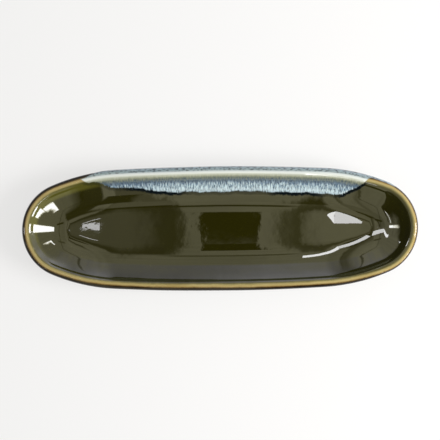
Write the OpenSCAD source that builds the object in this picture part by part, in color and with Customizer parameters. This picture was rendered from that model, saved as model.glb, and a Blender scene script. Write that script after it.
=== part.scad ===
// Long oval asparagus plate in glazed stoneware, seen from above with its length along X.
// The outline is an oval of eight arcs, and each wall profile is swept round all of them.
// In a profile x is the distance in from the outer edge, and y is the height over the table.
// Every coat of glaze is drawn from the same wall as the clay, so it lies on the clay face to face.

/* [Outline] */
// Length over the rim, end to end
length = 380; // [340:1:420]
// Width over the rim
width = 119; // [112:1:130]
// Radius of the shoulders, where the long sides draw in towards the ends
shoulder_radius = 180; // [165:1:200]
// Angle off the long axis where an end passes into a shoulder
end_turn = 67; // [65:0.5:69]
// Angle off the long axis where a shoulder passes into a long side
side_turn = 87; // [86.5:0.1:87.5]

/* [Wall] */
// Height of the rim over the table
height = 32; // [29:0.5:36]
// Thickness of the clay wall and floor
wall = 6.2; // [5:0.1:7]
// Radius of the rounded rim, glaze and all
rim_radius = 4.8; // [4.4:0.1:5.4]
// Radius of the flat of the floor at each end of the plate
floor_end_radius = 3; // [2:0.5:7]
// Radius of the cove between wall and floor, as a share of the way in from the rim to the flat
cove_share = 0.775; // [0.69:0.005:0.83]
// Radius of the hollow under the rim, outside
neck_radius = 6; // [4:0.5:8]

/* [Foot] */
// Radius of the foot ring at each end of the plate, measured to its inner side
foot_end_radius = 10.5; // [8:0.5:14]
// Width of the foot ring
foot_width = 5; // [4:0.5:7]
// Height of the foot ring, which is the depth of the recess inside it
foot_height = 3; // [2:0.1:4]
// Bevel along both lower edges of the foot ring
foot_bevel = 0.8; // [0.4:0.1:1.2]

/* [Glaze] */
// Thickness of the base coats of glaze
glaze = 0.6; // [0.4:0.1:0.9]
// Angle round the rim from the top of the inner wall to the thin honey band
band_in = 8; // [4:1:14]
// Angle round the rim from its crest to the outer edge of the honey band
band_out = 17; // [10:1:25]

/* [Poured glaze] */
// Thickness of the second glaze, poured over the far rim
pour = 0.5; // [0.3:0.1:0.8]
// Distance from the outer edge to the lower edge of the run inside the plate
pour_reach = 23; // [18:0.5:28]
// Height of the lower edge of the run outside the plate
pour_low = 14; // [11:0.5:18]
// Distance along the length from the left end of the plate to the start of the run
pour_left = 48; // [40:1:65]
// Distance along the length from the right end of the plate to the end of the run
pour_right = 44; // [40:1:65]
// How much farther each way the run lies along the outside of the rim
pour_outside = 19; // [5:1:22]
// Length over which the run widens at its left end
taper_left = 62; // [40:1:75]
// Length over which the run narrows at its right end
taper_right = 42; // [30:1:60]
// Depth of the drips along both lower edges
drip = 1.3; // [0.6:0.1:2]
// Distance from one drip to the next
drip_pitch = 11; // [8:0.5:16]

/* [Hidden] */

// Facets of a full turn round the plate, and degrees from point to point on rounds
sweep_steps = 256;
round_turn = 6;
// One overrun for every cut and every lap between solids of one piece
over = 1;
// Share of a millimetre that long reaches are rounded to first
coarse_share = 0.01;

// Oval of eight arcs: half sizes, then the end and side radii that the shoulders leave
half_length = length / 2;
half_width = width / 2;
shoulder_turn = side_turn - end_turn;
rest_length = half_length - shoulder_radius * (cos(end_turn) - cos(side_turn));
rest_width = half_width - shoulder_radius * (sin(side_turn) - sin(end_turn));
turn_share = (1 - cos(end_turn)) * (1 - sin(side_turn)) - cos(side_turn) * sin(end_turn);
end_radius = (rest_length * (1 - sin(side_turn)) - rest_width * cos(side_turn)) / turn_share;
side_radius = (rest_width * (1 - cos(end_turn)) - rest_length * sin(end_turn)) / turn_share;
end_centre = [half_length - end_radius, 0];
shoulder_centre = end_centre + (end_radius - shoulder_radius) * [cos(end_turn), sin(end_turn)];
side_centre = [0, half_width - side_radius];
// Far half of the oval, from the right tip to the left: centre, radius, start and turn of each arc
far_arcs = [
    [end_centre, end_radius, 0, end_turn],
    [shoulder_centre, shoulder_radius, end_turn, shoulder_turn],
    [side_centre, side_radius, side_turn, 180 - 2 * side_turn],
    [[-shoulder_centre.x, shoulder_centre.y], shoulder_radius, 180 - side_turn, shoulder_turn],
    [-end_centre, end_radius, 180 - end_turn, end_turn]
];

// Wall profile: rim centre, cove centre, and the straight wall that touches both rounds
shell = wall + 2 * glaze;
floor_top = foot_height + wall + glaze;
foot_end = end_radius - foot_end_radius;
foot_inset = foot_end - foot_width;
flat_inset = end_radius - floor_end_radius;
rim = [rim_radius, height - rim_radius];
cove_radius = cove_share * (flat_inset - rim_radius);
cove = [flat_inset, floor_top + cove_radius];
slope = asin((rim_radius + cove_radius) / norm(cove - rim)) - atan2(cove.y - rim.y, cove.x - rim.x);
wall_turn = 90 - slope;
wall_in = [cos(wall_turn), sin(wall_turn)];
wall_down = [sin(wall_turn), -cos(wall_turn)];
// The neck round touches the rim from outside and the outer face of the wall
neck_off = shell - rim_radius + neck_radius;
neck = rim - neck_off * wall_in + sqrt((rim_radius + neck_radius) ^ 2 - neck_off ^ 2) * wall_down;
neck_turn = atan2(rim.y - neck.y, rim.x - neck.x);
// Honey band, as angles round the rim from level and inside
band_start = wall_turn + band_in;
band_end = 90 + band_out;

// Poured glaze: ends and steps of the run, and how the slower of its two waves of drips follows the other
run_from = pour_left - half_length;
run_to = half_length - pour_right;
pour_steps = 92;
slow_drip_share = 2.7;
slow_drip_turn = 40;
outside_drip_share = 2;

function reversed(points) = [for (i = [len(points) - 1:-1:0]) points[i]];
// Points round an arc, from one angle to another, with the level and upright points always among them
function arc(centre, radius, from, to, turn = round_turn) =
    from > to ? reversed(arc(centre, radius, to, from, turn))
    : let (between = [for (i = [floor(from / turn) + 1:1:ceil(to / turn) - 1]) i * turn])
    [for (a = concat([from], between, [to])) centre + radius * [cos(a), sin(a)]];
// Points round the whole oval, drawn in from the outer edge by an inset
function oval(inset) = let (
    far = [for (a = far_arcs) each arc(a[0], a[1] - inset, a[2], a[2] + a[3], min(round_turn, a[3] / 4))]
) concat(far, -far);

// Angle at the cove's centre where a round of some radius lies at some distance from the outer edge
function cove_turn(radius, inset) = 180 + acos((cove.x - inset) / radius);
// Inner face of the wall at a depth under the glaze, from an angle on the rim to the floor
function inner_face(depth, from) = concat(
    arc(rim, rim_radius - depth, from, wall_turn),
    arc(cove, cove_radius + depth, 180 + wall_turn, 270),
    [[flat_inset + over, floor_top - depth]]
);
// Outer face of the wall at a depth under the glaze, from an angle on the rim to the foot ring
function outer_face(depth, from) = let (round = cove_radius + shell - depth) concat(
    arc(rim, rim_radius - depth, from, 180 + neck_turn),
    arc(neck, neck_radius + depth, neck_turn, wall_turn),
    arc(cove, round, 180 + wall_turn, cove_turn(round, foot_inset))
);
// Under face of the floor at a depth under the glaze, from the foot ring inwards
function under_face(depth) = let (round = cove_radius + shell - depth) concat(
    arc(cove, round, cove_turn(round, foot_end), 270),
    [[flat_inset + over, cove.y - round]]
);
// Foot ring, from its outer side to its inner side
foot = [
    [foot_inset, foot_bevel],
    [foot_inset + foot_bevel, 0],
    [foot_end - foot_bevel, 0],
    [foot_end, foot_bevel]
];

// Far edge of the oval over a place on the long axis
function far_y(x) = let (
    ax = abs(x),
    to_end = end_centre.x + end_radius * cos(end_turn),
    to_shoulder = shoulder_centre.x + shoulder_radius * cos(side_turn)
) ax > to_end ? sqrt(end_radius ^ 2 - (ax - end_centre.x) ^ 2)
    : ax > to_shoulder ? shoulder_centre.y + sqrt(shoulder_radius ^ 2 - (ax - shoulder_centre.x) ^ 2)
    : side_centre.y + sqrt(side_radius ^ 2 - ax ^ 2);
// Smooth start and end of the run, from 0 to 1 and back
function ease(t) = t <= 0 ? 0 : t >= 1 ? 1 : t * t * (3 - 2 * t);
function swell(x, extra) =
    ease((x - run_from + extra) / taper_left) * ease((run_to + extra - x) / taper_right);
// Two waves of unlike pitch, so that no two drips match
function drips(x) = drip / 2
    * (sin(360 * x / drip_pitch) + sin(360 * x / (slow_drip_share * drip_pitch) + slow_drip_turn));
// Lower edge of the run inside, as a distance in from the outer edge, and outside, as a height
function reach(x) = rim_radius + (pour_reach - rim_radius + drips(x)) * swell(x, 0);
function low(x) = height + (pour_low - height + drips(outside_drip_share * x)) * swell(x, pour_outside);
function along(from, to) = [for (i = [0:pour_steps]) from + (to - from) * i / pour_steps];

// Moves by a long reach in two steps, so that rounding a long number opens no seam
module far_move(v) {
    coarse = [for (c = v) round(c / coarse_share) * coarse_share];
    translate(coarse) translate(v - coarse) children();
}

// Sweeps a profile round the oval: its far half at 0, its near half at 180
module sweep(halves = [0, 180])
    for (half = halves, a = far_arcs)
        far_move(half == 0 ? a[0] : -a[0])
            rotate_extrude(angle = a[3], start = a[2] + half, $fn = sweep_steps)
                far_move([a[1], 0])
                    mirror([1, 0])
                        children();

// A layer of the floor between two depths under its glazed top
module floor_layer(from, to)
    translate([0, 0, floor_top - to])
        linear_extrude(to - from)
            polygon(oval(flat_inset + over / 2));

// Fired stoneware: wall, floor, rounded rim and the foot ring that the plate stands on
module clay_body()
    color("#c9b193") {
        sweep()
            polygon(concat(
                inner_face(glaze, 90), reversed(under_face(glaze)),
                reversed(foot), reversed(outer_face(glaze, 90))
            ));
        floor_layer(glaze, glaze + wall);
    }

// Olive green coat over the whole inside, up to the honey band
module liner_glaze()
    color("#474619") {
        sweep() polygon(concat(inner_face(0, band_start), reversed(inner_face(glaze, band_start))));
        floor_layer(0, glaze);
    }

// Honey band over the crest, where the glaze breaks thin
module rim_glaze()
    color("#b09a5c")
        sweep()
            polygon(concat(
                arc(rim, rim_radius, band_start, band_end), arc(rim, rim_radius - glaze, band_end, band_start)
            ));

// Dark brown coat from the honey band down to the foot ring
module outer_glaze()
    color("#3a3120")
        sweep() polygon(concat(outer_face(0, band_end), reversed(outer_face(glaze, band_end))));

// Patch of glaze in the recess inside the foot ring
module base_glaze()
    color("#403b22") {
        sweep() polygon(concat(under_face(0), reversed(under_face(glaze))));
        floor_layer(shell - glaze, shell);
    }

// Blue-white glaze poured over the far rim, with drips inside and outside
module poured_glaze() {
    left_end = run_from - pour_outside;
    right_end = run_to + pour_outside;
    color("#a9bfc8") {
        intersection() {
            sweep([0]) polygon(concat(inner_face(-pour, 90), reversed(inner_face(0, 90))));
            linear_extrude(2 * height)
                polygon(concat(
                    [for (x = along(run_from, run_to)) [x, far_y(x) - reach(x)]],
                    [[run_to, width], [run_from, width]]
                ));
        }
        intersection() {
            sweep([0]) polygon(concat(outer_face(-pour, 90), reversed(outer_face(0, 90))));
            translate([0, width, 0])
                rotate([90, 0, 0])
                    linear_extrude(width)
                        polygon(concat(
                            [for (x = along(left_end, right_end)) [x, low(x)]],
                            [[right_end, 2 * height], [left_end, 2 * height]]
                        ));
        }
    }
}

clay_body();
liner_glaze();
rim_glaze();
outer_glaze();
base_glaze();
poured_glaze();
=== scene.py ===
# Looks for a long oval asparagus plate in glazed stoneware, in metres, in the frame of its CAD model.
import math

import bmesh
import bpy
from mathutils import Matrix, Vector, noise


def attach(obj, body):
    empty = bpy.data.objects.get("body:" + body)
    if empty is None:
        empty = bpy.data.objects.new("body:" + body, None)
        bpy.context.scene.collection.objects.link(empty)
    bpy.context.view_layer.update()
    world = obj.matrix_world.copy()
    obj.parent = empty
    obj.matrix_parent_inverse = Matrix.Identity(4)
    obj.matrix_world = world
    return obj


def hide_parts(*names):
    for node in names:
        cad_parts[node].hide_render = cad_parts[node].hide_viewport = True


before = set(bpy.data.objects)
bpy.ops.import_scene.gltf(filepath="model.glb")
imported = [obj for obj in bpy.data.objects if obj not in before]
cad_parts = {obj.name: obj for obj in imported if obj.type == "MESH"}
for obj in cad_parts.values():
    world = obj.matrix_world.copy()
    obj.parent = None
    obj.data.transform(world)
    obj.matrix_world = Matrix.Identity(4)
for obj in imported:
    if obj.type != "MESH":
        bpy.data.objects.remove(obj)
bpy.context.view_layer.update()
mm = 0.001
print("frame loaded, nodes:", sorted(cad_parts))


# shape of the wall: an oval of tangent arcs, and a section of tangent arcs and lines
outline = {
    "halfLength": 190 * mm, "halfWidth": 59.5 * mm, "shoulderRadius": 180 * mm,
    "endTurn": 67, "sideTurn": 87,  # degrees off the long axis where one arc passes into the next
    "endSteps": 26, "shoulderSteps": 32, "sideSteps": 104,
}
wall = {
    "height": 32 * mm, "clay": 6.2 * mm, "glaze": 0.6 * mm,
    "rimRadius": 4.8 * mm, "neckRadius": 6 * mm,
    "floorEndRadius": 3 * mm, "coveShare": 0.775,
    "footEndRadius": 10.5 * mm, "footWidth": 5 * mm, "footHeight": 3 * mm, "footBevel": 0.8 * mm,
}
# the inside hollows a little between the rim and the floor, as a hand-shaped wall does
hollow = {"deep": 0.55 * mm, "from": 2.5 * mm, "deepest": 9 * mm, "to": 34 * mm}


def ease(t):
    t = min(max(t, 0), 1)
    return t * t * (3 - 2 * t)


def ovalArcs(o):
    # far half of the oval from the right tip to the left: centre x, centre y, radius, start, turn, steps
    end, side = math.radians(o["endTurn"]), math.radians(o["sideTurn"])
    shoulder = o["shoulderRadius"]
    restLength = o["halfLength"] - shoulder * (math.cos(end) - math.cos(side))
    restWidth = o["halfWidth"] - shoulder * (math.sin(side) - math.sin(end))
    share = (1 - math.cos(end)) * (1 - math.sin(side)) - math.cos(side) * math.sin(end)
    endRadius = (restLength * (1 - math.sin(side)) - restWidth * math.cos(side)) / share
    sideRadius = (restWidth * (1 - math.cos(end)) - restLength * math.sin(end)) / share
    endX = o["halfLength"] - endRadius
    shoulderX = endX + (endRadius - shoulder) * math.cos(end)
    shoulderY = (endRadius - shoulder) * math.sin(end)
    return [
        (endX, 0, endRadius, 0, end, o["endSteps"]),
        (shoulderX, shoulderY, shoulder, end, side - end, o["shoulderSteps"]),
        (0, o["halfWidth"] - sideRadius, sideRadius, side, math.pi - 2 * side, o["sideSteps"]),
        (-shoulderX, shoulderY, shoulder, math.pi - side, side - end, o["shoulderSteps"]),
        (-endX, 0, endRadius, math.pi - end, end, o["endSteps"]),
    ]


arcs = ovalArcs(outline)
endRadius = arcs[0][2]
shell = wall["clay"] + 2 * wall["glaze"]
floorTop = wall["footHeight"] + wall["clay"] + wall["glaze"]
floorInset = endRadius - wall["floorEndRadius"]
footEnd = endRadius - wall["footEndRadius"]
footStart = footEnd - wall["footWidth"]
rim = Vector((wall["rimRadius"], wall["height"] - wall["rimRadius"]))
coveRadius = wall["coveShare"] * (floorInset - rim.x)
cove = Vector((floorInset, floorTop + coveRadius))
gap = cove - rim
wallTurn = math.pi / 2 - math.asin((rim.x + coveRadius) / gap.length) + math.atan2(gap.y, gap.x)
wallIn = Vector((math.cos(wallTurn), math.sin(wallTurn)))
wallDown = Vector((math.sin(wallTurn), -math.cos(wallTurn)))
neckOff = shell - rim.x + wall["neckRadius"]
neck = rim - neckOff * wallIn + math.sqrt((rim.x + wall["neckRadius"]) ** 2 - neckOff ** 2) * wallDown
neckTurn = math.atan2(rim.y - neck.y, rim.x - neck.x)
# lengths along the glazed skin, from the crest to the floor and from the crest to the foot
rimIn = rim.x * (math.pi / 2 - wallTurn)
slopeIn = gap.dot(wallDown)
coveIn = coveRadius * (math.pi / 2 - wallTurn)
rimOut = rim.x * (math.pi / 2 + neckTurn)
neckOut = wall["neckRadius"] * (neckTurn - wallTurn)
bellyRadius = coveRadius + shell
slopeOut = (cove - bellyRadius * wallIn - neck - wall["neckRadius"] * wallIn).dot(wallDown)
bellyOut = bellyRadius * (math.acos(-wallIn.x) - math.acos((footStart - cove.x) / bellyRadius))
toFloor = rimIn + slopeIn + coveIn
toFoot = rimOut + neckOut + slopeOut + bellyOut
floorLap = 1 * mm  # how far the swept section reaches into the flat floor
insideBreaks = [rimIn, rimIn + slopeIn, toFloor, toFloor + floorLap]
outsideBreaks = [-toFoot, -(rimOut + neckOut + slopeOut), -(rimOut + neckOut), -rimOut]


def turned(centre, radius, angle):
    return centre + radius * Vector((math.cos(angle), math.sin(angle)))


def onWall(across, depth):
    # inset and height of the skin, across metres in from the crest (out if below 0) and depth under the glaze
    if across >= 0:
        sunk = ease((across - hollow["from"]) / (hollow["deepest"] - hollow["from"]))
        raised = ease((across - hollow["deepest"]) / (hollow["to"] - hollow["deepest"]))
        depth += hollow["deep"] * sunk * (1 - raised)
        if across <= rimIn:
            return turned(rim, rim.x - depth, math.pi / 2 - across / rim.x)
        if across <= rimIn + slopeIn:
            return rim + (rim.x - depth) * wallIn + (across - rimIn) * wallDown
        if across < toFloor:
            angle = math.pi + wallTurn + (across - rimIn - slopeIn) / coveRadius
            return turned(cove, coveRadius + depth, angle)
        return Vector((floorInset + across - toFloor, floorTop - depth))
    out = -across
    if out <= rimOut:
        return turned(rim, rim.x - depth, math.pi / 2 + out / rim.x)
    if out <= rimOut + neckOut:
        return turned(neck, wall["neckRadius"] + depth, neckTurn - (out - rimOut) / wall["neckRadius"])
    if out <= rimOut + neckOut + slopeOut:
        return neck + (wall["neckRadius"] + depth) * wallIn + (out - rimOut - neckOut) * wallDown
    angle = math.pi + wallTurn + (out - rimOut - neckOut - slopeOut) / bellyRadius
    return turned(cove, bellyRadius - depth, angle)


# the poured run, as lengths across the skin at each place along the plate
run = {
    "bare": -3 * mm,  # its edge lies outside the crest where there is no run
    "creamLeft": -138 * mm, "creamRight": 146 * mm, "creamTaper": 14 * mm, "cream": 8 * mm,
    "left": -122 * mm, "leftTaper": 22 * mm, "ledge": 0.58, "ledgeEnd": -92 * mm, "ledgeTaper": 50 * mm,
    "right": 147 * mm, "rightTaper": 36 * mm, "fall": 19.6 * mm,
    "sag": 0.8 * mm, "sagAt": 96 * mm, "sagWidth": 18 * mm,
    "outsideFull": -25 * mm, "outsideBare": -2.2 * mm,
    "outsideLeft": -132 * mm, "outsideLeftTaper": 44 * mm,
    "outsideRight": 174 * mm, "outsideRightTaper": 28 * mm,
    "drip": 0.8 * mm, "outsideDrip": 3.2 * mm, "pitch": 23 * mm,
    # the waves of each edge: share, pitch as a share of the run's pitch, start
    "waves": [(0.6, 1, 0.4), (0.6, 2.7, 2.1), (0.3, 0.43, 1.0)],
    "outsideWaves": [(0.6, 1.3, 1.7), (0.5, 2.9, 0.2)],
    "deepest": -30 * mm,  # the most that a bare place counts as outside the run
}


def dripping(x, waves):
    return sum(share * math.sin(2 * math.pi * x / (run["pitch"] * pitch) + start)
               for share, pitch, start in waves)


def runInside(x):
    cream = ease((x - run["creamLeft"]) / run["creamTaper"]) * ease((run["creamRight"] - x) / run["creamTaper"])
    start = run["ledge"] + (1 - run["ledge"]) * ease((x - run["ledgeEnd"]) / run["ledgeTaper"])
    fall = start * ease((x - run["left"]) / run["leftTaper"]) * ease((run["right"] - x) / run["rightTaper"])
    drips = run["drip"] * dripping(x, run["waves"])
    sag = run["sag"] * math.exp(-((x - run["sagAt"]) / run["sagWidth"]) ** 2)
    return run["bare"] + run["cream"] * cream + (run["fall"] + drips + sag) * fall


def runOutside(x):
    swell = (ease((x - run["outsideLeft"]) / run["outsideLeftTaper"])
             * ease((run["outsideRight"] - x) / run["outsideRightTaper"]))
    drips = run["outsideDrip"] * dripping(x, run["outsideWaves"])
    return run["outsideBare"] + (run["outsideFull"] - run["outsideBare"] + drips) * swell


def runDepth(x, y, across):
    # how far a place on the skin lies inside the run; below 0 it is bare of it
    if y < 0:
        return run["deepest"]
    return max(min(runInside(x) - across, across - runOutside(x)), run["deepest"])


hand = {
    "sway": 0.45 * mm, "swayScale": 14, "lengthShare": 0.5,
    "rise": 0.35 * mm, "settle": 0.4,  # the rim rises and dips, and sits lower by a share of that
    "floorWave": 0.03 * mm, "floorScale": 26,
    "starts": [(3, 7, 1), (9, 2, 5), (1, 4, 8)],  # where the noise starts for each of the three directions
}


def byHand(co):
    # the slight unevenness of a plate shaped by hand, the same for every coat
    lift = ease(co.z / wall["height"])
    slow = Vector((co.x, co.y, 0)) * hand["swayScale"]
    fast = Vector((co.x, co.y, 0)) * hand["floorScale"]
    along, aside, up = [noise.noise(slow + Vector(start)) for start in hand["starts"]]
    shift = Vector((hand["lengthShare"] * hand["sway"] * along, hand["sway"] * aside,
                    hand["rise"] * up - hand["settle"] * hand["rise"]))
    return co + shift * lift + Vector((0, 0, hand["floorWave"] * noise.noise(fast)))


sweep = {
    "near": 0.001 * mm, "short": 0.01 * mm, "weld": 0.002 * mm,  # lengths below which points count as one
    "floorCuts": 7,  # cuts across each half of the floor
    "crease": math.radians(32),
}


def sweepOval(section, ring):
    # spins a section arc by arc round the far half of the oval; a ring's section is closed
    bm = bmesh.new()
    acrossLayer = bm.verts.layers.float.new("across")
    verts = []
    for inset, height, across in section:
        vert = bm.verts.new((outline["halfLength"] - inset, 0, height))
        vert[acrossLayer] = across
        verts.append(vert)
    ends = verts[1:] + verts[:1] if ring else verts[1:]
    geom = verts + [bm.edges.new(pair) for pair in zip(verts, ends)]
    for x, y, radius, start, turn, steps in arcs:
        spun = bmesh.ops.spin(bm, geom=geom, cent=(x, y, 0), axis=(0, 0, 1), dvec=(0, 0, 0), angle=turn,
                              steps=steps, use_merge=False, use_normal_flip=False, use_duplicate=False)
        geom = spun["geom_last"]
    if not ring:
        # the floor: both open edges are drawn to the long axis and cut into strips
        lap = max(across for inset, height, across in section)
        chains = [e for e in bm.edges
                  if e.is_boundary and all(v[acrossLayer] > lap - sweep["short"] for v in e.verts)]
        drawn = bmesh.ops.extrude_edge_only(bm, edges=chains)["geom"]
        for vert in (g for g in drawn if isinstance(g, bmesh.types.BMVert)):
            vert.co.y = 0
        cross = [e for e in drawn if isinstance(e, bmesh.types.BMEdge)]
        cross = [e for f in {f for e in cross for f in e.link_faces} for e in f.edges
                 if abs(e.verts[0].co.x - e.verts[1].co.x) < sweep["near"] and e.calc_length() > sweep["short"]]
        bmesh.ops.subdivide_edges(bm, edges=list(set(cross)), cuts=sweep["floorCuts"], use_grid_fill=True)
    bmesh.ops.mirror(bm, geom=bm.verts[:] + bm.edges[:] + bm.faces[:], matrix=Matrix.Identity(4),
                     merge_dist=sweep["near"], axis="Y")
    bmesh.ops.remove_doubles(bm, verts=bm.verts[:], dist=sweep["weld"])
    bmesh.ops.recalc_face_normals(bm, faces=bm.faces[:])
    return bm


def evenly(first, last, step):
    count = max(1, math.ceil(abs(last - first) / step))
    return [first + (last - first) * i / count for i in range(count + 1)]


def skin(breaks, step, depth):
    # points along the wall at one depth, with every break among them
    across = []
    for first, last in zip(breaks, breaks[1:]):
        across += evenly(first, last, step)[:-1]
    return [(*onWall(a, depth), a) for a in across + [breaks[-1]]]


def addPiece(bm, name, material, node):
    acrossLayer = bm.verts.layers.float["across"]
    runLayer = bm.verts.layers.float.new("run")
    for vert in bm.verts:
        vert[runLayer] = runDepth(vert.co.x, vert.co.y, vert[acrossLayer])
        vert.co = byHand(vert.co)
    for face in bm.faces:
        face.smooth = True
    for edge in bm.edges:
        edge.smooth = len(edge.link_faces) == 2 and edge.calc_face_angle(0) < sweep["crease"]
    mesh = bpy.data.meshes.new(name)
    bm.to_mesh(mesh)
    bm.free()
    mesh.materials.append(material)
    piece = bpy.data.objects.new(name, mesh)
    bpy.context.scene.collection.objects.link(piece)
    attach(piece, "root")
    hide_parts(node)
    print(name, "made,", len(mesh.polygons), "faces")
    return piece


class Wire:
    # one socket, so that shader maths reads as plain sums
    def __init__(self, pot, socket):
        self.pot, self.socket = pot, socket

    def sum(self, operation, *values):
        return self.pot.add("ShaderNodeMath", {"operation": operation}, values)

    def __add__(self, other): return self.sum("ADD", self, other)
    def __radd__(self, other): return self.sum("ADD", other, self)
    def __sub__(self, other): return self.sum("SUBTRACT", self, other)
    def __rsub__(self, other): return self.sum("SUBTRACT", other, self)
    def __mul__(self, other): return self.sum("MULTIPLY", self, other)
    def __rmul__(self, other): return self.sum("MULTIPLY", other, self)
    def __truediv__(self, other): return self.sum("DIVIDE", self, other)
    def atLeast(self, other): return self.sum("MAXIMUM", self, other)

    def rise(self, low, high):
        # 0 at low, 1 at high, smooth between; low may be the greater of the two
        return self.pot.add("ShaderNodeMapRange", {"interpolation_type": "SMOOTHSTEP"},
                            {"Value": self, "From Min": low, "From Max": high})

    def band(self, low, high, soft):
        # 1 between low and high, 0 beyond them
        return self.rise(low - soft, low + soft) * self.rise(high + soft, high - soft)

    def ramp(self, stops):
        # colours at places along the value
        low, high = stops[0][0], stops[-1][0]
        spread = self.pot.add("ShaderNodeMapRange", {}, {"Value": self, "From Min": low, "From Max": high})
        places = [((place - low) / (high - low), colour) for place, colour in stops]
        return self.pot.add("ShaderNodeValToRGB", {"stops": places}, [spread])

    def curve(self, stops):
        # as ramp, for plain numbers
        top = max(level for place, level in stops)
        return self.ramp([(place, (level / top,) * 3) for place, level in stops]) * top


class Pot:
    # the nodes of one material, or of the world
    def __init__(self, block):
        self.block = block
        block.use_nodes = True
        self.tree = block.node_tree
        self.tree.nodes.clear()

    def add(self, kind, settings=None, values=(), out=0):
        node = self.tree.nodes.new(kind)
        for key, value in (settings or {}).items():
            if key == "stops":
                ramp = node.color_ramp
                while len(ramp.elements) < len(value):
                    ramp.elements.new(0.5)
                for element, (place, colour) in zip(ramp.elements, value):
                    element.position = place
                    element.color = (*colour, 1)
            else:
                setattr(node, key, value)
        for key, value in (values.items() if isinstance(values, dict) else enumerate(values)):
            if isinstance(value, Wire):
                self.tree.links.new(value.socket, node.inputs[key])
            else:
                node.inputs[key].default_value = value
        return Wire(self, node.outputs[out]) if node.outputs else None

    def mix(self, factor, first, second, blend="MIX"):
        first, second = [c if isinstance(c, Wire) else (*c, 1) for c in (first, second)]
        return self.add("ShaderNodeMix", {"data_type": "RGBA", "blend_type": blend},
                        {0: factor, 6: first, 7: second}, out=2)

    def parts(self, vector):
        return [self.add("ShaderNodeSeparateXYZ", {}, [vector], out=i) for i in range(3)]

    def stretched(self, place, scale, shift=(0, 0, 0)):
        return self.add("ShaderNodeMapping", {}, {"Vector": place, "Scale": scale, "Location": shift})

    def cloud(self, place, scale, detail, rough, distort=0.0):
        return self.add("ShaderNodeTexNoise", {}, {"Vector": place, "Scale": scale, "Detail": detail,
                                                   "Roughness": rough, "Distortion": distort})

    def layer(self, name):
        return self.add("ShaderNodeAttribute", {"attribute_name": name}, {}, out="Fac")

    def bump(self, height, strength, distance, normal=None):
        values = {"Height": height, "Strength": strength, "Distance": distance}
        if normal:
            values["Normal"] = normal
        return self.add("ShaderNodeBump", {}, values, out="Normal")

    def surface(self, values, over=None, share=None):
        shader = self.add("ShaderNodeBsdfPrincipled", {}, values)
        if over:
            shader = self.add("ShaderNodeMixShader", {}, [share, shader, over])
        self.add("ShaderNodeOutputMaterial", {}, [shader])
        return self.block


def newPot(name):
    return Pot(bpy.data.materials.new(name))


glaze = {
    # colours of the plain glaze by millimetres in from the crest; below 0 is outside
    "plain": [(-40, (0.030, 0.020, 0.009)), (-12, (0.020, 0.014, 0.006)), (-4.5, (0.010, 0.006, 0.002)),
              (-1.7, (0.012, 0.006, 0.001)), (-1.0, (0.12, 0.065, 0.016)), (0.1, (0.38, 0.28, 0.10)),
              (1.1, (0.40, 0.31, 0.118)), (2.0, (0.29, 0.235, 0.085)), (3.0, (0.110, 0.094, 0.030)),
              (4.4, (0.036, 0.033, 0.008)), (8, (0.021, 0.020, 0.002)), (16, (0.0185, 0.0170, 0.0012)),
              (32, (0.0168, 0.0152, 0.0008))],
    "halo": (0.098, 0.092, 0.012),  # yellow green below the rim, at the left end
    # colours of the poured glaze, in the same way
    "poured": [(-40, (0.34, 0.42, 0.46)), (-5, (0.34, 0.42, 0.46)), (-2.8, (0.25, 0.33, 0.36)),
               (-1.4, (0.28, 0.35, 0.37)), (-0.5, (0.62, 0.66, 0.64)), (0.9, (0.72, 0.745, 0.68)),
               (2.2, (0.46, 0.48, 0.385)), (4.0, (0.33, 0.345, 0.25)), (6.5, (0.22, 0.245, 0.185)),
               (9, (0.100, 0.150, 0.190)), (13, (0.10, 0.180, 0.29)), (17, (0.27, 0.39, 0.48)),
               (20, (0.51, 0.63, 0.68)), (30, (0.52, 0.65, 0.70))],
    # near black of the pool where the run stops, partly painted shade under the run's edge
    "poolAndShade": (0.003, 0.006, 0.008),
    "milk": (0.60, 0.745, 0.785),
    "thread": (0.020, 0.050, 0.095),
    "speck": (0.030, 0.042, 0.055),
    "thin": (0.62, 0.50, 0.28),
}

# the patterns; across is in millimetres in from the crest, along in millimetres along the plate
pattern = {
    # noise in the plate's own place: scale, detail, roughness
    "slow": (11, 2, 0.5), "mottle": (90, 4, 0.6), "thin": (34, 4, 0.6),
    # noise laid on the skin: its stretch along and across, its shift, then the same and its distortion
    "strands": [((1.05, 0.13, 1), (0, 0, 0)), (1, 3, 0.6, 0.2)],
    "threads": [((1.7, 0.24, 1), (7, 3, 0)), (1, 2, 0.6)],
    "knots": [((0.62, 0.26, 1), (2, 9, 0)), (1, 2, 0.6)],
    "specks": [((0.28, 0.7, 1), (0, 0, 0)), (1, 3, 0.7)],
    # the honey band: how far it is shifted in, everywhere and at the right end, and how it wanders
    "honey": {"in": 0.55, "rightEnd": (125, 172), "rightIn": 2.0, "slow": 2.2, "mottle": 1.3},
    "halo": {"across": (3.2, 12, 2.2), "along": (-70, -140), "side": (-0.045, 0.01), "share": 0.8},
    "thinning": {"noise": (0.50, 0.72), "share": 0.3},
    # the poured glaze: how far noise moves its edge and its colours, and where each mark shows
    "inside": (1, 6), "fray": 5.0, "reach": 11, "edge": (0.3, 1.6),
    "thread": {"noise": (0.51, 0.41), "across": (6, 25, 2.5), "share": 0.9},
    "knot": {"noise": (0.54, 0.60), "across": (9, 19, 2.5), "share": 0.8},
    "milk": {"noise": (0.47, 0.58), "across": (11, 16), "share": 0.9},
    "speck": {"noise": (0.50, 0.58), "across": (-0.7, -1.5), "share": 0.85},
    # the dark pool where the run stops, partly painted shade under its edge, full along these stretches
    "poolAndShade": (-3.0, 0.9, 0.8), "poolAndShadeLeast": 0.42, "poolAndShadeFull": [(-90, -34, 8), (50, 98, 8), (114, 150, 6)],
    # unevenness of the surface: noise, strength, height
    "swell": [(42, 2, 0.5), 0.30, 0.25 * mm], "ripple": [(330, 2, 0.5), 0.10, 0.05 * mm],
}


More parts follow.
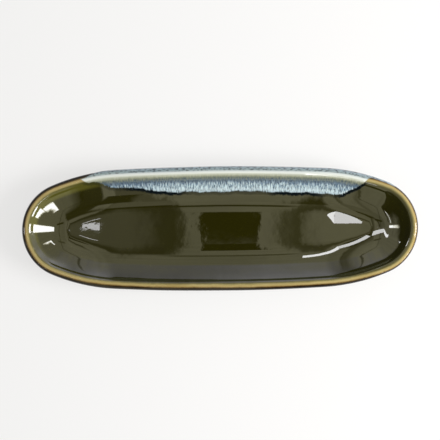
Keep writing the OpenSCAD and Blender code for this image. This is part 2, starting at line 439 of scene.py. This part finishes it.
def glazeColour(pot):
    place = pot.add("ShaderNodeTexCoord", {}, {}, out="Object")
    x, y, z = pot.parts(place)
    along = x * 1000
    across = pot.layer("across") * 1000
    depth = pot.layer("run") * 1000
    slow = pot.cloud(place, *pattern["slow"]) - 0.5
    mottle = pot.cloud(place, *pattern["mottle"]) - 0.5
    # the honey band wanders along the rim and sits farther out at the right end
    honey = pattern["honey"]
    wander = (across + honey["in"] + along.rise(*honey["rightEnd"]) * honey["rightIn"]
              + slow * honey["slow"] + mottle * honey["mottle"])
    plain = wander.ramp(glaze["plain"])
    halo = pattern["halo"]
    haloed = wander.band(*halo["across"]) * along.rise(*halo["along"]) * y.rise(*halo["side"])
    plain = pot.mix(haloed * halo["share"], plain, glaze["halo"])
    thin = pot.cloud(place, *pattern["thin"]).rise(*pattern["thinning"]["noise"])
    plain = pot.mix(thin * pattern["thinning"]["share"], plain, glaze["thin"], "MULTIPLY")
    # strands and threads run down the wall: close along the plate, long across it
    skinPlace = pot.add("ShaderNodeCombineXYZ", {}, [along, across, 0.0])
    strands, threads, knots, specks = [
        pot.cloud(pot.stretched(skinPlace, *laid), *kind)
        for laid, kind in (pattern[name] for name in ("strands", "threads", "knots", "specks"))]
    inside = across.rise(*pattern["inside"])
    edge = depth + ((threads - 0.5) * pattern["fray"] + (strands - 0.5) * pattern["fray"]) * inside
    zone = across + (strands - 0.5) * pattern["reach"] * inside
    poured = zone.ramp(glaze["poured"])
    thread, knot, milk, speck = [pattern[name] for name in ("thread", "knot", "milk", "speck")]
    shown = threads.rise(*thread["noise"]) * across.band(*thread["across"]) * thread["share"]
    poured = pot.mix(shown, poured, glaze["thread"])
    shown = knots.rise(*knot["noise"]) * across.band(*knot["across"]) * knot["share"]
    poured = pot.mix(shown, poured, glaze["thread"])
    shown = strands.rise(*milk["noise"]) * zone.rise(*milk["across"]) * milk["share"]
    poured = pot.mix(shown, poured, glaze["milk"])
    # dark specks on the outer side of the rim
    shown = specks.rise(*speck["noise"]) * across.rise(*speck["across"]) * speck["share"]
    poured = pot.mix(shown, poured, glaze["speck"])
    # where the run stops the green glaze is darkened: partly a stain of the run, partly painted shade under its
    # edge
    least = pattern["poolAndShadeLeast"]
    stainAndShade = least + (1 - least) * sum(along.band(*stretch) for stretch in pattern["poolAndShadeFull"])
    poolAndShade = edge.band(*pattern["poolAndShade"]) * inside * stainAndShade
    return pot.mix(edge.rise(*pattern["edge"]), plain, poured), poolAndShade, place


def glazeMaterial(name, roughness, gloss=0.5):
    pot = newPot(name)
    colour, poolAndShade, place = glazeColour(pot)
    normal = None
    for kind, strength, height in (pattern["swell"], pattern["ripple"]):
        normal = pot.bump(pot.cloud(place, *kind), strength, height, normal)
    # a dull dark shader takes the place of the gloss in the pool: painted shade, with no reflection
    dullPoolAndShade = pot.add("ShaderNodeBsdfDiffuse", {}, {"Color": (*glaze["poolAndShade"], 1)})
    return pot.surface({"Base Color": colour, "Roughness": roughness, "IOR": 1.55,
                        "Specular IOR Level": gloss, "Normal": normal}, dullPoolAndShade, poolAndShade)


bareClay = {
    "pale": (0.60, 0.44, 0.29), "deep": (0.44, 0.29, 0.17), "grit": (0.16, 0.10, 0.06),
    "body": (55, 4, 0.6), "deepening": (0.35, 0.7),
    "grain": (900, 3, 0.7), "gritty": (0.60, 0.72), "gritShare": 0.6, "bump": (0.5, 0.25 * mm),
}


def clayMaterial():
    pot = newPot("clay")
    place = pot.add("ShaderNodeTexCoord", {}, {}, out="Object")
    body = pot.cloud(place, *bareClay["body"])
    grain = pot.cloud(place, *bareClay["grain"])
    colour = pot.mix(body.rise(*bareClay["deepening"]), bareClay["pale"], bareClay["deep"])
    colour = pot.mix(grain.rise(*bareClay["gritty"]) * bareClay["gritShare"], colour, bareClay["grit"])
    return pot.surface({"Base Color": colour, "Roughness": 0.85, "IOR": 1.45,
                        "Normal": pot.bump(grain, *bareClay["bump"])})


liner = glazeMaterial("liner", 0.02)
rimCoat = glazeMaterial("rim", 0.03)
outside = glazeMaterial("outside", 0.09, 0.25)
base = glazeMaterial("base", 0.12)
poured = glazeMaterial("poured", 0.06)
clay = clayMaterial()
print("glazes mixed")


# the coats: how far the band over the crest reaches in and out, and the steps of the sections
coat = {
    "bandIn": (math.pi / 2 - wallTurn - math.radians(8)) * rim.x, "bandOut": math.radians(17) * rim.x,
    "fine": 0.8 * mm, "coarse": 2.5 * mm, "under": 4 * mm,
}
thick = wall["glaze"]

# inner coat with the floor
top = skin([coat["bandIn"], *insideBreaks], coat["fine"] * 2, 0)
low = skin([coat["bandIn"], *insideBreaks], coat["under"], thick)
addPiece(sweepOval(top[::-1] + low, False), "linerCoat", liner, "liner_glaze")

# band over the crest
top = skin([-coat["bandOut"], 0, coat["bandIn"]], coat["fine"] / 2, 0)
low = skin([-coat["bandOut"], 0, coat["bandIn"]], coat["fine"], thick)
addPiece(sweepOval(top + low[::-1], True), "rimBand", rimCoat, "rim_glaze")

# outer coat down to the foot ring
top = skin([*outsideBreaks, -coat["bandOut"]], coat["fine"], 0)
low = skin([*outsideBreaks, -coat["bandOut"]], coat["under"], thick)
addPiece(sweepOval(top + low[::-1], True), "outerCoat", outside, "outer_glaze")

# the foot ring and the recess inside it; its lengths across the skin run on from the outer coat
foot = {
    "bevel": wall["footBevel"], "bevelSteps": 4,
    "bevelFrom": -toFoot - 4 * mm, "recessFrom": -toFoot - 8 * mm,
}


def recess(depth, step):
    # the skin of the recess from the ring inwards, and on into the flat floor
    reach = bellyRadius - depth
    first = math.pi + math.acos((cove.x - footEnd) / reach)
    points = [turned(cove, reach, angle) for angle in evenly(first, 1.5 * math.pi, step / reach)]
    section = [(*p, foot["recessFrom"] - (p.x - footEnd)) for p in points]
    return section + [(floorInset + floorLap, points[-1].y, toFloor + floorLap)]


# coat in the recess
section = recess(0, coat["fine"])[::-1] + recess(thick, coat["coarse"])
addPiece(sweepOval(section, False), "baseCoat", base, "base_glaze")

# clay body with its foot ring
inner = skin([0, *insideBreaks], coat["coarse"], thick)
outer = skin([*outsideBreaks, 0], coat["coarse"], thick)[:-1]
ring = []
for edgeX, side, start in ((footEnd, -1, 0), (footStart, 1, -0.5 * math.pi)):
    centre = Vector((edgeX + side * foot["bevel"], foot["bevel"]))
    for angle in evenly(start, start - 0.5 * math.pi, 0.5 * math.pi / foot["bevelSteps"]):
        ring.append((*turned(centre, foot["bevel"], angle), foot["bevelFrom"]))
section = inner[::-1] + outer[::-1] + ring[::-1] + recess(thick, coat["coarse"])
addPiece(sweepOval(section, False), "clayBody", clay, "clay_body")

# poured run, a grid draped over the far wall between its two edges
drape = {
    "columns": 420, "rows": 96, "from": -134 * mm, "to": 168 * mm,
    "thick": 0.5 * mm, "bead": 5 * mm, "sink": 0.3 * mm,
}


def onRim(x):
    # arc and angle of the far outline whose rim point lies at this x
    for cx, cy, radius, start, turn, steps in arcs:
        angle = math.acos(max(-1, min(1, (x - cx) / radius)))
        if start - 1e-6 <= angle <= start + turn + 1e-6:
            return cx, cy, radius, angle
    raise ValueError(x)


bm = bmesh.new()
bmesh.ops.create_grid(bm, x_segments=drape["columns"], y_segments=drape["rows"], size=1)
acrossLayer = bm.verts.layers.float.new("across")
for vert in bm.verts:
    along, between = (vert.co.x + 1) / 2, (vert.co.y + 1) / 2
    x = drape["from"] + (drape["to"] - drape["from"]) * along
    first, last = runInside(x), runOutside(x)
    across = first + (last - first) * between
    cx, cy, radius, angle = onRim(x)
    # round at both edges, as wide as the bead
    short = 1 - min(1, max(0, min(across - last, first - across)) / drape["bead"])
    lift = drape["thick"] * math.sqrt(max(0, 1 - short ** 2))
    inset, height = onWall(across, -lift)
    vert.co = (cx + (radius - inset) * math.cos(angle), cy + (radius - inset) * math.sin(angle), height)
    vert[acrossLayer] = across
bmesh.ops.recalc_face_normals(bm, faces=bm.faces[:])
pouredRun = addPiece(bm, "pouredRun", poured, "poured_glaze")
body = pouredRun.modifiers.new("body", "SOLIDIFY")
body.thickness = drape["sink"]
body.offset = -1


studio = {
    "view": 21.68, "lens": (0.13 * mm, 8.33 * mm, 1.130), "roll": 0.546,  # degrees, metres, degrees
    "world": 0.54, "backdrop": 0.9,
    # painted light on the table: darker at the left, brighter at the right
    "table": (0.92, 0.915, 0.905), "tableShadedLeft": (0.885, 0.88, 0.87), "tableLitRight": (1.0, 0.99, 0.975),
    "tableTurns": 0.30, "tableSize": 12, "tableGap": 0.05 * mm, "shadowShare": 0.26,
    "cardSteps": 32, "warm": (1, 0.96, 0.6),
    # how the shades fade at their sides: share of the side, the most of it, and how much larger the card is
    "shadeFade": 0.125, "shadeFadeMost": 15 * mm, "shadeMargin": (1.3, 1.2),
}
scene = bpy.context.scene
scene.view_settings.view_transform = "Standard"

camera = bpy.data.objects.new("camera", bpy.data.cameras.new("camera"))
camera.data.sensor_width = 36
camera.data.angle = math.radians(studio["view"])
camera.location = studio["lens"]
camera.rotation_euler = (0, 0, -math.radians(studio["roll"]))
camera.data.clip_start, camera.data.clip_end = 0.01, 30
scene.collection.objects.link(camera)
scene.camera = camera


def card(name, size, centre, material, glossyOnly, bow=0, peak=0, taper=0):
    # a flat card; bow curves it along its length from the peak on, taper narrows it, both per metre
    bm = bmesh.new()
    bmesh.ops.create_grid(bm, x_segments=studio["cardSteps"] if bow else 1, y_segments=1, size=0.5)
    bmesh.ops.scale(bm, vec=(*size, 1), verts=bm.verts[:])
    for vert in bm.verts:
        vert.co.y = vert.co.y * (1 - taper * vert.co.x) + bow * (vert.co.x - peak) ** 2
    mesh = bpy.data.meshes.new(name)
    bm.to_mesh(mesh)
    bm.free()
    mesh.materials.append(material)
    piece = bpy.data.objects.new(name, mesh)
    piece.location = centre
    scene.collection.objects.link(piece)
    if glossyOnly:
        piece.visible_camera = piece.visible_diffuse = piece.visible_shadow = False
        piece.visible_transmission = piece.visible_volume_scatter = False


# table: part of its tone is painted light, an emission that is darker at the left and brighter at the right, so
# that the plate's shadow stays faint
pot = newPot("table")
x, y, z = pot.parts(pot.add("ShaderNodeTexCoord", {}, {}, out="Object"))
paintedLightTone = x.ramp([(-studio["tableTurns"], studio["tableShadedLeft"]), (studio["tableTurns"], studio["tableLitRight"])])
paintedLightGlow = pot.add("ShaderNodeEmission", {}, {"Color": paintedLightTone, "Strength": 1.0})
lit = pot.add("ShaderNodeBsdfDiffuse", {}, {"Color": (*studio["table"], 1)})
seen = [pot.add("ShaderNodeLightPath", {}, {}, out=way)
        for way in ("Is Camera Ray", "Is Glossy Ray", "Is Transmission Ray")]
share = seen[0].atLeast(seen[1]).atLeast(seen[2]) * (1 - studio["shadowShare"])
pot.add("ShaderNodeOutputMaterial", {}, [pot.add("ShaderNodeMixShader", {}, [share, lit, paintedLightGlow])])
card("table", (studio["tableSize"],) * 2, (0, 0, -studio["tableGap"]), pot.block, False)

# bright cards that only the gloss shows: two just over the right end and a spot high at the left
strips = {
    "panel": {"size": (28.5 * mm, 7.4 * mm), "centre": (130.3 * mm, 7.3 * mm, 0.06), "level": 12.0},
    "streak": {"size": (32.5 * mm, 10.4 * mm), "centre": (99.85 * mm, 31.5 * mm, 0.06), "level": 16.0,
               "shape": {"bow": -21.7, "peak": -16.75 * mm, "taper": 12}},
    "spot": {"size": (36 * mm, 12 * mm), "centre": (-247 * mm, -6 * mm, 1.13), "level": 9.0},
}
for name, strip in strips.items():
    pot = newPot(name)
    pot.add("ShaderNodeOutputMaterial", {}, [pot.add("ShaderNodeEmission", {}, {"Strength": strip["level"]})])
    card(name, strip["size"], strip["centre"], pot.block, True, **strip.get("shape", {}))

# dark things near the plate, mirrored in its walls; they fade out at their sides
shades = {
    "shadeLeft": {"size": (50 * mm, 445 * mm), "centre": (-122 * mm, -398 * mm, 0.2), "level": 0.08},
    "shadeEnd": {"size": (40 * mm, 110 * mm), "centre": (-138 * mm, -135 * mm, 0.2), "level": 0.1},
    "railFar": {"size": (150 * mm, 34 * mm), "centre": (12 * mm, -103 * mm, 0.3), "level": 0.1},
    "railNear": {"size": (150 * mm, 40 * mm), "centre": (12 * mm, 219 * mm, 0.3), "level": 0.5},
}
for name, shade in shades.items():
    pot = newPot(name)
    wide, long = shade["size"]
    x, y, z = pot.parts(pot.add("ShaderNodeTexCoord", {}, {}, out="Object"))
    fade = min(long * studio["shadeFade"], studio["shadeFadeMost"])
    solid = x.band(-wide / 2, wide / 2, wide * studio["shadeFade"]) * y.band(-long / 2, long / 2, fade)
    dim = pot.add("ShaderNodeEmission", {}, {"Color": (*studio["warm"], 1), "Strength": shade["level"]})
    pot.add("ShaderNodeOutputMaterial", {}, [
        pot.add("ShaderNodeMixShader", {}, [solid, pot.add("ShaderNodeBsdfTransparent"), dim])])
    wider, longer = studio["shadeMargin"]
    card(name, (wide * wider, long * longer), shade["centre"], pot.block, True)

# the room round the plate, as its gloss mirrors it
room = {
    # brightness by the sideways lean of a ray, which is -1 at the left, 0 overhead and 1 at the right
    "over": [(-1.0, 0.3), (-0.74, 0.35), (-0.64, 0.70), (-0.45, 1.35), (-0.18, 1.5), (-0.135, 0.73),
             (-0.083, 0.67), (-0.076, 0.62), (-0.068, 0.50), (-0.060, 0.28), (-0.054, 0.20), (-0.034, 0.14),
             (-0.031, 0.30), (-0.0290, 1.10), (-0.021, 1.27), (0.034, 1.40), (0.046, 1.45), (0.051, 0.60),
             (0.060, 0.36), (0.070, 0.25), (0.074, 0.80), (0.082, 1.26), (0.09, 1.42), (0.104, 1.50),
             (0.14, 1.30), (0.25, 1.1), (0.60, 1.2), (1.0, 1.5)],
    # towards the near side, below the ceiling
    "near": [(-0.60, 1.4), (-0.17, 1.2), (-0.145, 0.75), (-0.125, 1.30), (-0.055, 1.45), (-0.047, 1.10),
             (-0.038, 0.65), (-0.028, 0.65), (-0.026, 1.45), (0.033, 1.50), (0.045, 0.12), (0.15, 0.10),
             (0.19, 0.60), (0.21, 1.10), (0.60, 1.20)],
    # towards the far side: halfway up, then near the horizon
    "far": [(-0.45, 1.4), (-0.20, 1.7), (-0.12, 1.35), (-0.104, 1.0), (-0.090, 0.60), (-0.083, 0.50),
            (-0.062, 0.50), (-0.055, 0.30), (-0.049, 0.90), (-0.041, 1.25), (0.010, 1.20), (0.035, 1.40),
            (0.062, 1.28), (0.076, 1.50), (0.14, 1.5), (0.30, 1.2)],
    "horizon": [(-0.60, 1.0), (-0.27, 1.5), (-0.20, 1.9), (-0.15, 1.3), (-0.12, 0.70), (-0.055, 0.75),
                (-0.020, 1.04), (0.007, 1.45), (0.021, 1.75), (0.076, 1.95), (0.104, 1.7), (0.20, 1.2),
                (0.25, 2.2), (0.40, 2.8), (0.55, 1.9), (0.75, 2.2), (0.86, 1.4)],
    # where the ceiling ends on the near side, and where halfway up and the horizon begin, in degrees
    "below": {"near": (59, 55), "far": (58, 48), "horizon": (17.5, 12.5)}, "sides": (-0.03, 0.03),
    # dark things that stand low at the left of the room: their height in degrees by lean, far and near side
    "edgeFar": [(-1.00, 22.0), (-0.87, 20.6), (-0.82, 19.4), (-0.76, 18.3), (-0.60, 17.0), (-0.45, 16.2),
                (-0.37, 15.0), (-0.27, 14.4), (-0.19, 14.0), (-0.10, 12.6), (-0.038, 8.0), (0.0, 2.3),
                (0.03, 0.0)],
    "edgeNear": [(-1.00, 22.0), (-0.87, 21.0), (-0.62, 20.6), (-0.50, 19.5), (-0.41, 17.5), (-0.35, 14.0),
                 (-0.28, 0.0)],
    "edgeBlur": (-0.8, 0.8), "edgeShare": 0.96,
    # a plain shelf and a darker strip over it, both at the near left
    "left": (-0.022, -0.032), "shelf": (44, 60, 2), "shelfLevel": 0.95,
    "strip": (61, 66, 1.5), "stripShare": 0.8,
    # the camera on its arm, and the two edges of the ceiling panel
    "camera": (-0.0148, 0.0345, 0.0018), "arm": (-0.027, 0.37, 0.02), "cameraShare": 0.98,
    "panelEdge": (0.59, 0.64, 0.011), "panelFrom": (0.12, 0.3), "panelShare": 0.7,
    # unevenness: stretch, noise, least level, how much it adds
    "uneven": [(26, 9, 14), (1, 3, 0.6), 0.72, 0.56],
    # windows: bearing and half width, height and half height, all in degrees, and how they climb
    "windows": [(86, 7.5, 25, 16, 0), (57, 9, 12.5, 5.0, 0), (36, 11, 16.2, 0.9, 0.05),
                (127, 8, 21.6, 1.0, 0.12), (-56, 22, 22.4, 0.35, -0.067), (-88.5, 3.5, 25.6, 4.2, 0)],
    "windowLevel": 20.0, "windowBlur": 1.2,
    # tints: warm, but cool high on the far side, and plain in the windows
    "warm": (1, 0.96, 0.64), "cool": (1, 1, 1.1), "plain": (1, 1, 1),
    "coolFrom": (0.33, 0.21), "coolWander": 0.10,
}
world = bpy.data.worlds.new("studio")
scene.world = world
pot = Pot(world)
sky = pot.add("ShaderNodeTexCoord", {}, {}, out="Generated")
x, y, z = pot.parts(sky)
bearing = x.sum("ARCTAN2", x, 0 - y) * (180 / math.pi)  # 0 towards the near side, positive to the right
height = z.sum("ARCSINE", z) * (180 / math.pi)
lean = z.atLeast(0.05)  # keeps the divisions below away from the horizon
beyond = y.rise(*room["sides"])
behind = 1 - beyond
level = x.curve(room["over"])
for curve, side in (("near", behind), ("far", beyond), ("horizon", beyond)):
    mask = side * height.rise(*room["below"][curve])
    level = level * (1 - mask) + x.curve(room[curve]) * mask
left = behind * x.rise(*room["left"])
shelf = height.band(*room["shelf"]) * left
level = level * (1 - shelf) + room["shelfLevel"] * shelf
level = level * (1 - height.band(*room["strip"]) * left * room["stripShare"])
level = level * (1 - x.band(*room["camera"]) * (y / lean).band(*room["arm"]) * room["cameraShare"])
for side in (-1, 1):
    rail = (x / lean * side).band(*room["panelEdge"]) * z.rise(*room["panelFrom"])
    level = level * (1 - rail * room["panelShare"])
edge = x.curve(room["edgeFar"]) * beyond + x.curve(room["edgeNear"]) * behind
level = level * (1 - (edge - height).rise(*room["edgeBlur"]) * room["edgeShare"])
stretch, kind, least, more = room["uneven"]
uneven = pot.cloud(pot.stretched(sky, stretch), *kind)
level = level * (least + uneven * more)
panes = 0
for side, wide, up, tall, climb in room["windows"]:
    off, rise = bearing - side, height - up
    blur = min(tall, 1.0) / 2
    panes = panes + off.band(-wide, wide, room["windowBlur"]) * (rise - off * climb).band(-tall, tall, blur)
level = level + panes * room["windowLevel"]
cool = (z + (uneven - 0.5) * room["coolWander"]).rise(*room["coolFrom"]) * beyond
tint = pot.mix(panes, pot.mix(cool, room["warm"], room["cool"]), room["plain"])
# gloss sees the room, the camera a plain backdrop, and everything else an even light
glossy = pot.add("ShaderNodeLightPath", {}, {}, out="Is Glossy Ray")
glow = pot.add("ShaderNodeBackground", {}, {"Color": tint, "Strength": level})
even = pot.add("ShaderNodeBackground", {}, {"Color": (1, 1, 1, 1), "Strength": studio["world"]})
backdrop = pot.add("ShaderNodeBackground", {}, {"Color": (1, 1, 1, 1), "Strength": studio["backdrop"]})
direct = pot.add("ShaderNodeLightPath", {}, {}, out="Is Camera Ray")
around = pot.add("ShaderNodeMixShader", {}, [glossy, even, glow])
pot.add("ShaderNodeOutputWorld", {}, [pot.add("ShaderNodeMixShader", {}, [direct, around, backdrop])])

key = {"size": 0.7, "power": 21, "centre": (1.12, -0.22, 0.88), "aim": (0, 0, 0)}


def lamp(name, light):
    data = bpy.data.lights.new(name, "AREA")
    data.shape, data.size, data.energy = "SQUARE", light["size"], light["power"]
    lampObject = bpy.data.objects.new(name, data)
    lampObject.location = light["centre"]
    towards = Vector(light["centre"]) - Vector(light["aim"])
    lampObject.rotation_euler = towards.to_track_quat("Z", "Y").to_euler()
    lampObject.visible_glossy = False
    scene.collection.objects.link(lampObject)


lamp("key", key)
print("studio set")
